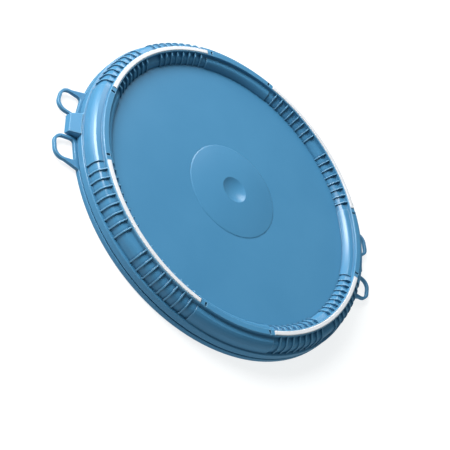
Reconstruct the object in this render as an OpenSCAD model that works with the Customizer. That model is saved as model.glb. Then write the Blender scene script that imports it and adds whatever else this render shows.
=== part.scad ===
// Lid of a plastic open head drum: a dished blue shell with a ribbed crown, a bayonet
// locking ring with four loops under its skirt, a seal in the crown and four white
// stacking strips. Origin: centre of the resting face. +Z points up out of the lid.
// The two loop stations lie on the X axis, each with a lug between its two loops.

/* [Lid] */
// Radius of the circle that the white strips lie on
rim_r = 266; // [250:1:285]
// Height from the resting face to the top of the strips
lid_h = 56; // [52:1:64]
// Depth of the dished panel below the top of the strips
panel_depth = 20; // [16:1:24]
// Thickness of the panel
panel_t = 4; // [3:0.5:6]

/* [Centre of the panel] */
// Radius of the domed disc
dome_r = 88; // [60:1:120]
// Rise of the domed disc at its middle
dome_rise = 5.5; // [1:0.5:6]
// Radius of the dimple in the middle of the disc
dimple_r = 24; // [15:1:30]
// Depth of the dimple
dimple_depth = 6; // [3:0.5:8]

/* [Crown ribs] */
// Number of windows in each of the eight rib groups
group_windows = 8; // [5:1:8]
// Angle from one rib to the next
rib_pitch = 3.09; // [2.6:0.01:3.1]
// Angle from the middle of a strip to its first rib
first_rib = 4.35; // [3:0.05:4.4]
// Thickness of a rib
rib_t = 2.2; // [1.5:0.1:3]
// Depth of the windows between the ribs
window_depth = 2.4; // [1:0.1:2.5]

/* [Stacking strips] */
// Width of a strip
strip_w = 7.4; // [5:0.1:8]
// Angle from the middle of a strip to its end
strip_half_angle = 28.9; // [20:0.1:29]
// Height that a strip stands above the crown
strip_proud = 1; // [0.5:0.1:2]
// Depth of the groove that a strip sits in
strip_groove = 2.4; // [1.5:0.1:3]
// Angle from the middle of a strip to the notch past its end
notch_angle = 31.1; // [30.5:0.1:33]

/* [Locking ring] */
// Height of the ring's outer lip
lip_h = 9.6; // [8.6:0.2:10]
// Height of the open seam between the lip and the lid's skirt
seam_h = 1.6; // [1:0.1:2.2]
// Angle from the middle of a station to the middle of a loop
loop_angle = 8.55; // [8.4:0.05:10]
// Width of a loop's opening, across the radius
loop_hole_w = 39; // [30:1:41]
// Reach of a loop's opening, along the radius
loop_hole_l = 33; // [25:1:36]
// Thickness of a loop's plate, measured down from the top of the lip
loop_t = 6; // [4:0.5:7]
// Number of cams inside the ring that grip under the drum's mouth
cam_count = 8; // [4:2:12]

/* [Hidden] */
$fn = 180;

lid_blue = [0.27, 0.53, 0.71];
ring_blue = [0.25, 0.50, 0.69];
strip_white = [0.93, 0.92, 0.93];
seal_grey = [0.16, 0.17, 0.18];

// Heights
crown_z = lid_h - strip_proud;
panel_z = lid_h - panel_depth;
flange_z = 24;
foot_z = flange_z + 0.8;
skirt_z = lip_h + seam_h;

// Radii
crown_in = rim_r - 5.6;
crown_out = rim_r + 5;
panel_r = rim_r - 21.8;
wall_foot_r = rim_r + 22.3;
flange_r = rim_r + 25.2;
skirt_r = rim_r + 25.5;
skirt_in = rim_r + 21.4;
lip_r = rim_r + 26.2;
collar_in = rim_r + 17.4;
collar_out = skirt_in - 0.5;

// Crown channel, where the seal lies
channel_in = rim_r - 3.5;
channel_out = rim_r + 3;
channel_z = crown_z - strip_groove - 3.1;
seal_h = 7;
seal_gap = 0.15;

// Snap bead that keeps the ring on the lid, and its groove
snap_z = skirt_z + 4.2;
snap_reach = 1.3;
snap_half = 1.2;
snap_gap = 0.5;

// Ribs and smooth lands
land_edge = first_rib + group_windows * rib_pitch;
strip_angles = [45, 135, 225, 315];
land_angles = [0, 90, 180, 270];
notch_half_angle = 0.4;

// Lugs between the loops
lug_top_tip = rim_r + 43.2;
lug_low_tip = rim_r + 45.4;
lug_root_half = 21.2;
lug_tip_half = 17.4;
lug_root_z = flange_z + 0.4;
lug_tip_z = 16.5;
lug_low_z = 5.5;
lug_wall = 3;
lug_gap = 0.5;

// Loops
loop_hole_in = rim_r + 29.5;
loop_hole_out = loop_hole_in + loop_hole_l;
loop_side = 4.2;
loop_end = 4.5;
loop_far_r = 18;
loop_step = 0.1;
gusset_half = 36;
cam_span = 14;
cam_reach = 5;
cam_h = 6;

// Points on an arc, from angle a0 to angle a1
function arc(centre, r, a0, a1, steps) =
    [for (i = [0 : steps]) let (a = a0 + (a1 - a0) * i / steps)
        [centre[0] + r * cos(a), centre[1] + r * sin(a)]];

// Height at a share of the way from one level up to another
function level(low, high, share) = low + (high - low) * share;

// Crown's outer face, from the groove beside the band, over the shoulder and down to the
// flange; back moves it into the wall
function outer_face(back) = [
    [rim_r + 5.9 - back * 0.2, crown_z - 6.1 - back * 0.3],
    [rim_r + 14 - back * 0.35, level(foot_z, crown_z, 0.762) - back],
    [rim_r + 17 - back * 0.6, level(foot_z, crown_z, 0.68) - back * 0.8],
    [rim_r + 18.9 - back * 0.8, level(foot_z, crown_z, 0.59) - back * 0.6],
    [rim_r + 20.3 - back * 0.9, level(foot_z, crown_z, 0.485) - back * 0.3],
    [rim_r + 21.3 - back, level(foot_z, crown_z, 0.37)],
    [wall_foot_r - back, foot_z]];

// Crown's inner face, from the groove beside the band down to the panel's edge
function inner_face(back) = [
    [rim_r - 6.9 + back * 0.2, crown_z - 6.1 - back * 0.3],
    [rim_r - 13.5 + back * 0.35, level(panel_z, crown_z, 0.625) - back],
    [rim_r - 15.7 + back * 0.5, level(panel_z, crown_z, 0.545) - back * 0.8],
    [rim_r - 17.8 + back * 0.7, level(panel_z, crown_z, 0.42) - back * 0.6],
    [rim_r - 19.6 + back * 0.8, level(panel_z, crown_z, 0.28) - back * 0.3],
    [rim_r - 21 + back * 0.9, level(panel_z, crown_z, 0.13)],
    [panel_r + back * 0.9, panel_z]];

// Sphere radius of a shallow cap from its rim radius and its height
function cap_r(rim, rise) = (rim * rim + rise * rise) / (2 * rise);

dome_sphere = cap_r(dome_r, dome_rise);
dimple_sphere = cap_r(dimple_r, dimple_depth);
dome_lip = 0.6;

// Upper surface of the panel from the middle outwards
function dome_height(r) =
    sqrt(dome_sphere * dome_sphere - r * r) - (dome_sphere - dome_rise);
function dimple_drop(r) =
    sqrt(dimple_sphere * dimple_sphere - r * r) - (dimple_sphere - dimple_depth);
function panel_top() = concat(
    [for (i = [0 : 6]) let (r = dimple_r * i / 6)
        [r, panel_z + dome_lip + dome_height(r) - dimple_drop(r)]],
    [for (i = [1 : 8]) let (r = dimple_r + (dome_r - 1.5 - dimple_r) * i / 8)
        [r, panel_z + dome_lip + dome_height(r)]],
    [[dome_r, panel_z]]);
// Lower surface of the panel from the rim inwards
function panel_bottom() = concat(
    [[dome_r + 1, panel_z - panel_t]],
    [for (i = [4 : -1 : 1]) let (r = dimple_r + (dome_r - dimple_r) * i / 5)
        [r, panel_z + dome_height(r) - panel_t]],
    [for (i = [6 : -1 : 0]) let (r = (dimple_r + 2) * i / 6)
        [r, panel_z + dome_height(r) - panel_t
            - max(0, dimple_drop(min(r, dimple_r)))]]);

// Underside of the crown and skirt, from the panel outwards
function hollow_side() = [
    [panel_r + 2, panel_z - panel_t],
    [rim_r - 17.4, panel_z - panel_t + 1],
    [rim_r - 15.8, panel_z - 0.6],
    [rim_r - 14.4, level(panel_z, crown_z, 0.13)],
    [rim_r - 12.2, level(panel_z, crown_z, 0.27)],
    [rim_r - 9.6, level(panel_z, crown_z, 0.36)],
    [channel_in, channel_z - 5.3],
    [channel_in, channel_z],
    [channel_out, channel_z],
    [channel_out, channel_z - 5.3],
    [rim_r + 10, level(foot_z, crown_z, 0.6)],
    [rim_r + 12.7, level(foot_z, crown_z, 0.53)],
    [rim_r + 14.3, level(foot_z, crown_z, 0.43)],
    [rim_r + 15.6, level(foot_z, crown_z, 0.3)],
    [rim_r + 16.7, foot_z - 0.2],
    [skirt_in - 1.6, flange_z - 3.4],
    [skirt_in, flange_z - 4.6],
    [skirt_in, snap_z + snap_half + snap_gap + 0.5],
    [skirt_in + snap_reach, snap_z + snap_half + snap_gap - 0.7],
    [skirt_in + snap_reach, snap_z - snap_half - snap_gap + 0.7],
    [skirt_in, snap_z - snap_half - snap_gap - 0.5],
    [skirt_in, skirt_z]];

// Skirt from the bottom up, and the flange's rounded edge
function outer_side() = concat(
    [[skirt_r - 0.7, skirt_z],
     [skirt_r, skirt_z + 0.9],
     [flange_r + 0.1, flange_z - 1.8]],
    arc([flange_r - 1.5, flange_z - 1.6], 1.6, 10, 80, 4));

function reversed(list) = [for (i = [len(list) - 1 : -1 : 0]) list[i]];

module sector(from, to, outline) {
    rotate([0, 0, from])
        rotate_extrude(angle = to - from)
            polygon(outline);
}

// Whole shell in section, with the crown's faces set back to the window floors
module shell_body() {
    rotate_extrude()
        polygon(concat(
            panel_top(),
            reversed(inner_face(window_depth)),
            [[crown_in, crown_z - 4.2],
             [crown_in, crown_z - 0.8],
             [crown_in + 0.8, crown_z],
             [crown_out - 0.8, crown_z],
             [crown_out, crown_z - 0.8],
             [crown_out, crown_z - 4.2]],
            outer_face(window_depth),
            reversed(outer_side()),
            reversed(hollow_side()),
            panel_bottom()));
}

// How deep the roots of lands and ribs reach into the shell's wall
root_back = window_depth + 1.1;

// Outline of a rib or a land on the outer face: lead is its start beside the band, and
// face the edge that is seen
function outer_outline(lead, face) = concat(
    lead, face,
    [[wall_foot_r + 0.9, flange_z - 1], [wall_foot_r - root_back, flange_z - 0.4]],
    reversed(outer_face(root_back)));
function inner_outline(lead, face) = concat(
    lead, face,
    [[panel_r - 1.2, panel_z - 1], [panel_r + 2, panel_z - 1.6]],
    reversed(inner_face(root_back)));

// A list from one of its points on; a rib leaves out the points of the groove beside the
// band, and bridges it
function points_from(first, list) = [for (i = [first : len(list) - 1]) list[i]];

// High shoulder of an inner rib, which stands above the lands
inner_rib_shoulder = [rim_r - 12.4, crown_z - 3.4];

// Smooth lands, one in each quarter
module lands() {
    half = 45 - land_edge;
    for (mid = land_angles) {
        sector(mid - half, mid + half,
            outer_outline([[crown_out - 1, crown_z - 5]], outer_face(0)));
        sector(mid - half, mid + half,
            inner_outline([[crown_in + 1, crown_z - 5]], inner_face(0)));
    }
}

// Thin ribs between the windows, on both faces of the crown
module ribs() {
    half = rib_t / 2 / rim_r * 180 / PI;
    for (mid = strip_angles, side = [-1, 1], i = [0 : group_windows - 1]) {
        at = mid + side * (first_rib + i * rib_pitch);
        sector(at - half, at + half,
            outer_outline([[crown_out - 0.6, crown_z - 1.6]],
                points_from(1, outer_face(0))));
        sector(at - half, at + half,
            inner_outline([[crown_in + 0.6, crown_z - 1.6], inner_rib_shoulder],
                points_from(2, inner_face(0))));
    }
}

module strip_grooves() {
    for (mid = strip_angles) {
        sector(mid - strip_half_angle - 0.1, mid + strip_half_angle + 0.1, [
            [rim_r - strip_w / 2 - 0.1, crown_z - strip_groove],
            [rim_r + strip_w / 2 + 0.1, crown_z - strip_groove],
            [rim_r + strip_w / 2 + 0.1, crown_z + 1],
            [rim_r - strip_w / 2 - 0.1, crown_z + 1]]);
        for (side = [-1, 1])
            sector(mid + side * notch_angle - notch_half_angle,
                mid + side * notch_angle + notch_half_angle, [
                [rim_r - strip_w / 2, crown_z - strip_groove],
                [rim_r + strip_w / 2, crown_z - strip_groove],
                [rim_r + strip_w / 2, crown_z + 1],
                [rim_r - strip_w / 2, crown_z + 1]]);
    }
}

module lid_shell() {
    color(lid_blue)
        difference() {
            union() {
                shell_body();
                lands();
                ribs();
            }
            strip_grooves();
        }
}

// A rectangle with rounded corners: near corners of one radius, far corners of another
module rounded_plate(x0, x1, half, near_r, far_r) {
    translate([x0 + near_r, -half])
        square([x1 - far_r - x0 - near_r, 2 * half]);
    translate([x0, -half + near_r])
        square([near_r + 1, 2 * (half - near_r)]);
    translate([x1 - far_r - 1, -half + far_r])
        square([far_r + 1, 2 * (half - far_r)]);
    for (side = [-1, 1]) {
        translate([x0 + near_r, side * (half - near_r)])
            circle(r = near_r);
        translate([x1 - far_r, side * (half - far_r)])
            circle(r = far_r);
    }
}

// One loop, along +X, with its gusset on the side away from the lug; its top lies one
// small step below the lip's
module loop(side) {
    half = loop_hole_w / 2;
    tip = loop_hole_out + loop_end;
    arc_from = tip - loop_far_r;
    translate([0, 0, lip_h - loop_t])
        linear_extrude(loop_t - loop_step)
            difference() {
                union() {
                    rounded_plate(lip_r - 5, tip, half + loop_side, 2, loop_far_r);
                    polygon([
                        [lip_r - 5, side * gusset_half], [lip_r - 5, 0],
                        [arc_from, 0], [arc_from, side * (half + loop_side)]]);
                }
                rounded_plate(loop_hole_in, loop_hole_out, half, 6, 14);
            }
}

// One lug's outline in height, from root to tip and back along the bottom
function lug_section(root, inset) = [
    [root, lug_low_z - (inset > 0 ? 5 : 0)],
    [lug_low_tip - inset, lug_low_z - (inset > 0 ? 5 : 0)],
    [lug_top_tip - inset, lug_tip_z - inset],
    [root, level(lug_tip_z, lug_root_z, (lug_top_tip - root) / (lug_top_tip - lip_r)) - inset]];

// A lug along +X as a plain block; inset makes the smaller block that hollows it
module lug_block(root, inset) {
    intersection() {
        linear_extrude(lid_h)
            polygon([
                [root, -lug_root_half + inset], [lug_low_tip + 1, -lug_tip_half + inset],
                [lug_low_tip + 1, lug_tip_half - inset], [root, lug_root_half - inset]]);
        translate([0, lug_root_half + 5, 0])
            rotate([90, 0, 0])
                linear_extrude(2 * lug_root_half + 10)
                    polygon(lug_section(root, inset));
    }
}

// A hood, open below, that stands out from the lip between the two loops
module lug() {
    difference() {
        lug_block(lip_r - 3, 0);
        lug_block(lip_r - 1.5, lug_wall);
        translate([0, 0, lip_h - 0.4])
            cylinder(h = lid_h, r = skirt_r + lug_gap);
    }
}

module cams() {
    for (i = [0 : cam_count - 1]) {
        mid = (i + 0.5) * 360 / cam_count;
        sector(mid - cam_span / 2, mid + cam_span / 2, [
            [collar_in - cam_reach, 1.2], [collar_in + 1, 0],
            [collar_in + 1, cam_h + 1.5], [collar_in - cam_reach, cam_h - 1.5]]);
    }
}

module lock_ring() {
    color(ring_blue) {
        rotate_extrude()
            polygon([
                [collar_in, 0], [lip_r - 2, 0], [lip_r - 0.6, 0.7], [lip_r, 2.4],
                [lip_r, lip_h - 0.7], [lip_r - 0.7, lip_h], [collar_out, lip_h],
                [collar_out, snap_z - snap_half - 0.5],
                [collar_out + snap_reach, snap_z - snap_half + 0.7],
                [collar_out + snap_reach, snap_z + snap_half - 0.7],
                [collar_out, snap_z + snap_half + 0.5],
                [collar_out - 1.2, snap_z + snap_half + 0.5],
                [collar_in, snap_z + snap_half - 1]]);
        cams();
        for (turn = [0, 180], side = [-1, 1])
            rotate([0, 0, turn + side * loop_angle])
                loop(side);
        for (turn = [0, 180])
            rotate([0, 0, turn])
                lug();
    }
}

module gasket() {
    color(seal_grey)
        rotate_extrude()
            polygon([
                [channel_in + seal_gap, channel_z],
                [channel_in + seal_gap, channel_z - seal_h + 1.5],
                [channel_in + 1.5, channel_z - seal_h],
                [channel_out - 1.5, channel_z - seal_h],
                [channel_out - seal_gap, channel_z - seal_h + 1.5],
                [channel_out - seal_gap, channel_z]]);
}

module stack_strip(mid) {
    color(strip_white)
        sector(mid - strip_half_angle, mid + strip_half_angle, [
            [rim_r - strip_w / 2, crown_z - strip_groove],
            [rim_r + strip_w / 2, crown_z - strip_groove],
            [rim_r + strip_w / 2, lid_h - 0.6],
            [rim_r + strip_w / 2 - 0.6, lid_h],
            [rim_r - strip_w / 2 + 0.6, lid_h],
            [rim_r - strip_w / 2, lid_h - 0.6]]);
}

lid_shell();
lock_ring();
gasket();
stack_strip(strip_angles[0]);  // stack_strip_1
stack_strip(strip_angles[1]);  // stack_strip_2
stack_strip(strip_angles[2]);  // stack_strip_3
stack_strip(strip_angles[3]);  // stack_strip_4
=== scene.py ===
import math

import bpy
from mathutils import Matrix, Vector

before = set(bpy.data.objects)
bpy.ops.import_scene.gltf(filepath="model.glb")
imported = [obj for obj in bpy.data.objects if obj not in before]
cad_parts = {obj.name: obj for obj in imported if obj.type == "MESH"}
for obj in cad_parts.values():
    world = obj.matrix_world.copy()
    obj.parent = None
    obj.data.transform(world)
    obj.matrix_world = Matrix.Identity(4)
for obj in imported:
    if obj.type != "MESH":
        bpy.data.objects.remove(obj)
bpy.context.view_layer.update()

scene = bpy.context.scene

# Lengths are metres and angles are degrees. An azimuth counts from +X towards +Y.

# ---------------------------------------------------------------- driving values

# Blue plastic: how far from an outer edge a painted highlight makes it paler, how far from
# an inner corner painted shade makes it darker, and how much of the painted pale or dark
# colour is mixed in there
PAINTED_HIGHLIGHT_WIDTH = 0.0016
PAINTED_SHADE_WIDTH = 0.0045
PAINTED_HIGHLIGHT_COLOUR = (0.18, 0.38, 0.54)
PAINTED_SHADE_COLOUR = (0.004, 0.04, 0.09)
PAINTED_LIGHT_SHARE = 0.6

# Nearness (see below) right at a square edge or corner, where half of all ways are blocked
SQUARE_NEARNESS = 0.5

# Rays that each shading point sends out to find an edge
EDGE_SAMPLES = 6

# The floor lies just under the lid, so that no two faces share a plane
FLOOR_HALF = 6.0
FLOOR_LEVEL = -0.0004
FLOOR_GLOW = 0.8

SKY_COLOUR = (0.62, 0.90, 1)
SKY_STRENGTH = 0.30

# The camera looks down on the lid from one side, and is rolled so that the lid seems to
# stand on its edge. Lens and sensor are millimetres.
CAMERA_AZIMUTH = -130.31
CAMERA_ELEVATION = 39.82
CAMERA_ROLL = 53.81
CAMERA_DISTANCE = 2.295
CAMERA_AIM = Vector((-0.0300, -0.0940, 0.0557))
CAMERA_LENS = 114.5
CAMERA_SENSOR = 36
CAMERA_REACH = 50

# ---------------------------------------------------------------- shader helpers


def new_material(name):
    """A material with its nodes, its links, its shader and the place on the object."""
    material = bpy.data.materials.new(name)
    material.use_nodes = True
    nodes = material.node_tree.nodes
    place = nodes.new("ShaderNodeTexCoord").outputs["Object"]
    return material, nodes, material.node_tree.links, nodes["Principled BSDF"], place


def noise(nodes, links, place, scale, detail):
    node = nodes.new("ShaderNodeTexNoise")
    node.inputs["Scale"].default_value = scale
    node.inputs["Detail"].default_value = detail
    links.new(place, node.inputs["Vector"])
    return node.outputs["Fac"]


def cloudy(nodes, links, cloud, dark, light):
    """A colour between dark and light, as the cloud's value has it."""
    node = nodes.new("ShaderNodeValToRGB")
    stops = [(0.3, dark), (0.7, light)]
    for element, (at, colour) in zip(node.color_ramp.elements, stops):
        element.position = at
        element.color = (*colour, 1)
    links.new(cloud, node.inputs["Fac"])
    return node.outputs["Color"]


def spread(nodes, links, value, low, high):
    """A value from 0 to 1, stretched to run from low to high."""
    node = nodes.new("ShaderNodeMapRange")
    node.inputs["To Min"].default_value = low
    node.inputs["To Max"].default_value = high
    links.new(value, node.inputs["Value"])
    return node.outputs["Result"]


def bump(nodes, links, height, strength, distance, below):
    """Fine relief on top of the normal below it."""
    node = nodes.new("ShaderNodeBump")
    node.inputs["Strength"].default_value = strength
    node.inputs["Distance"].default_value = distance
    links.new(height, node.inputs["Height"])
    links.new(below, node.inputs["Normal"])
    return node.outputs["Normal"]


def rounded_edges(nodes, radius):
    """Normal that turns softly over an edge, as a moulded edge's does."""
    node = nodes.new("ShaderNodeBevel")
    node.samples = EDGE_SAMPLES
    node.inputs["Radius"].default_value = radius
    return node.outputs["Normal"]


def nearness(nodes, links, distance, inside):
    """0 on open faces, rising close to outer edges (inside) or to inner corners."""
    node = nodes.new("ShaderNodeAmbientOcclusion")
    node.samples = EDGE_SAMPLES
    node.inside = inside
    node.only_local = True
    node.inputs["Distance"].default_value = distance
    flip = nodes.new("ShaderNodeInvert")
    links.new(node.outputs["AO"], flip.inputs["Color"])
    return flip.outputs["Color"]


def mix_in(nodes, links, near, first, second):
    """The first colour, with the second mixed in where something is near."""
    share = nodes.new("ShaderNodeMapRange")
    share.inputs["From Max"].default_value = SQUARE_NEARNESS
    share.inputs["To Max"].default_value = PAINTED_LIGHT_SHARE
    links.new(near, share.inputs["Value"])
    node = nodes.new("ShaderNodeMix")
    node.data_type = "RGBA"
    links.new(share.outputs["Result"], node.inputs["Factor"])
    links.new(first, node.inputs["A"])
    node.inputs["B"].default_value = (*second, 1)
    return node.outputs["Result"]


# ---------------------------------------------------------------- materials


def moulded_plastic(name, dark, light, edge_radius):
    """Satin polyethylene: faint cloudiness in the colour, a fine moulded grain, outer
    edges made paler by a painted highlight and inner corners made darker by painted shade."""
    material, nodes, links, shader, place = new_material(name)
    cloud = noise(nodes, links, place, scale=9, detail=4)
    grain = noise(nodes, links, place, scale=900, detail=3)
    colour = cloudy(nodes, links, cloud, dark, light)
    # Painted highlight: outer edges get a paler colour. Painted shade: inner corners get a
    # darker colour.
    painted_highlight_near = nearness(nodes, links, PAINTED_HIGHLIGHT_WIDTH, inside=True)
    painted_shade_near = nearness(nodes, links, PAINTED_SHADE_WIDTH, inside=False)
    # Mix the painted edge highlight and then the painted corner shade into the colour
    colour = mix_in(nodes, links, painted_highlight_near, colour, PAINTED_HIGHLIGHT_COLOUR)
    colour = mix_in(nodes, links, painted_shade_near, colour, PAINTED_SHADE_COLOUR)
    rough = spread(nodes, links, grain, low=0.25, high=0.35)
    edges = rounded_edges(nodes, edge_radius)
    relief = bump(nodes, links, grain, strength=0.08, distance=0.0004, below=edges)
    links.new(colour, shader.inputs["Base Color"])
    links.new(rough, shader.inputs["Roughness"])
    links.new(relief, shader.inputs["Normal"])
    return material


def soft_rubber(name, dark, light, low_rough, high_rough, edge_radius):
    """Matt rubber with an even colour and a finer grain than the plastic's."""
    material, nodes, links, shader, place = new_material(name)
    cloud = noise(nodes, links, place, scale=30, detail=4)
    grain = noise(nodes, links, place, scale=1500, detail=2)
    colour = cloudy(nodes, links, cloud, dark, light)
    rough = spread(nodes, links, grain, low_rough, high_rough)
    edges = rounded_edges(nodes, edge_radius)
    relief = bump(nodes, links, grain, strength=0.1, distance=0.0003, below=edges)
    links.new(colour, shader.inputs["Base Color"])
    links.new(rough, shader.inputs["Roughness"])
    links.new(relief, shader.inputs["Normal"])
    return material


def floor_paint():
    """Pale matt floor that glows a little, so that it stays near white all over."""
    material, nodes, links, shader, place = new_material("floor_paint")
    cloud = noise(nodes, links, place, scale=3, detail=2)
    colour = cloudy(nodes, links, cloud, dark=(0.24, 0.24, 0.24), light=(0.26, 0.26, 0.26))
    links.new(colour, shader.inputs["Base Color"])
    shader.inputs["Roughness"].default_value = 0.9
    shader.inputs["Emission Color"].default_value = (1, 1, 1, 1)
    shader.inputs["Emission Strength"].default_value = FLOOR_GLOW
    return material


lid_blue = moulded_plastic("lid_blue", dark=(0.048, 0.187, 0.335),
                           light=(0.056, 0.204, 0.358), edge_radius=0.0013)
ring_blue = moulded_plastic("ring_blue", dark=(0.044, 0.178, 0.325),
                            light=(0.051, 0.194, 0.346), edge_radius=0.0018)
strip_white = soft_rubber("strip_white", dark=(0.62, 0.60, 0.61), light=(0.66, 0.64, 0.65),
                          low_rough=0.45, high_rough=0.55, edge_radius=0.0024)
seal_grey = soft_rubber("seal_grey", dark=(0.02, 0.02, 0.022), light=(0.03, 0.03, 0.032),
                        low_rough=0.65, high_rough=0.75, edge_radius=0.0006)

FINISHES = {"lid_shell": lid_blue, "lock_ring": ring_blue, "gasket": seal_grey}
for name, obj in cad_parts.items():
    obj.data.materials.clear()
    obj.data.materials.append(FINISHES.get(name, strip_white))


# ---------------------------------------------------------------- floor, light, camera


def make_floor():
    corners = [(x * FLOOR_HALF, y * FLOOR_HALF, FLOOR_LEVEL)
               for x, y in ((-1, -1), (1, -1), (1, 1), (-1, 1))]
    mesh = bpy.data.meshes.new("floor")
    mesh.from_pydata(corners, [], [(0, 1, 2, 3)])
    mesh.materials.append(floor_paint())
    floor = bpy.data.objects.new("floor", mesh)
    floor.visible_glossy = False        # keeps its white out of the dark near walls
    scene.collection.objects.link(floor)


def direction(azimuth, elevation):
    """Unit vector towards an azimuth and an elevation."""
    turn, lift = math.radians(azimuth), math.radians(elevation)
    return Vector((math.cos(turn) * math.cos(lift), math.sin(turn) * math.cos(lift),
                   math.sin(lift)))


def disc_light(name, azimuth, elevation, distance, size, power):
    """Round soft light that faces the origin. The power is in watts."""
    data = bpy.data.lights.new(name, "AREA")
    data.shape = "DISK"
    data.size = size
    data.energy = power
    lamp = bpy.data.objects.new(name, data)
    towards = direction(azimuth, elevation)
    lamp.location = towards * distance
    lamp.rotation_mode = "QUATERNION"
    lamp.rotation_quaternion = towards.to_track_quat("Z", "Y")
    scene.collection.objects.link(lamp)


def make_sky():
    world = bpy.data.worlds.new("studio")
    world.use_nodes = True
    background = world.node_tree.nodes["Background"]
    background.inputs["Color"].default_value = (*SKY_COLOUR, 1)
    background.inputs["Strength"].default_value = SKY_STRENGTH
    scene.world = world


def make_camera():
    data = bpy.data.cameras.new("camera")
    data.lens = CAMERA_LENS
    data.sensor_width = CAMERA_SENSOR
    data.clip_end = CAMERA_REACH
    camera = bpy.data.objects.new("camera", data)
    back = direction(CAMERA_AZIMUTH, CAMERA_ELEVATION)
    upright = back.to_track_quat("Z", "Y").to_matrix()
    rolled = upright @ Matrix.Rotation(math.radians(CAMERA_ROLL), 3, "Z")
    place = Matrix.Translation(CAMERA_AIM + back * CAMERA_DISTANCE)
    camera.matrix_world = place @ rolled.to_4x4()
    scene.collection.objects.link(camera)
    scene.camera = camera


make_floor()
make_sky()
disc_light("key", azimuth=150, elevation=36, distance=4.0, size=2.3, power=255)
disc_light("low_side", azimuth=146, elevation=11, distance=4.0, size=3.0, power=75)
disc_light("sheen", azimuth=88, elevation=34, distance=3.2, size=1.6, power=36)
make_camera()
scene.view_settings.view_transform = "Standard"
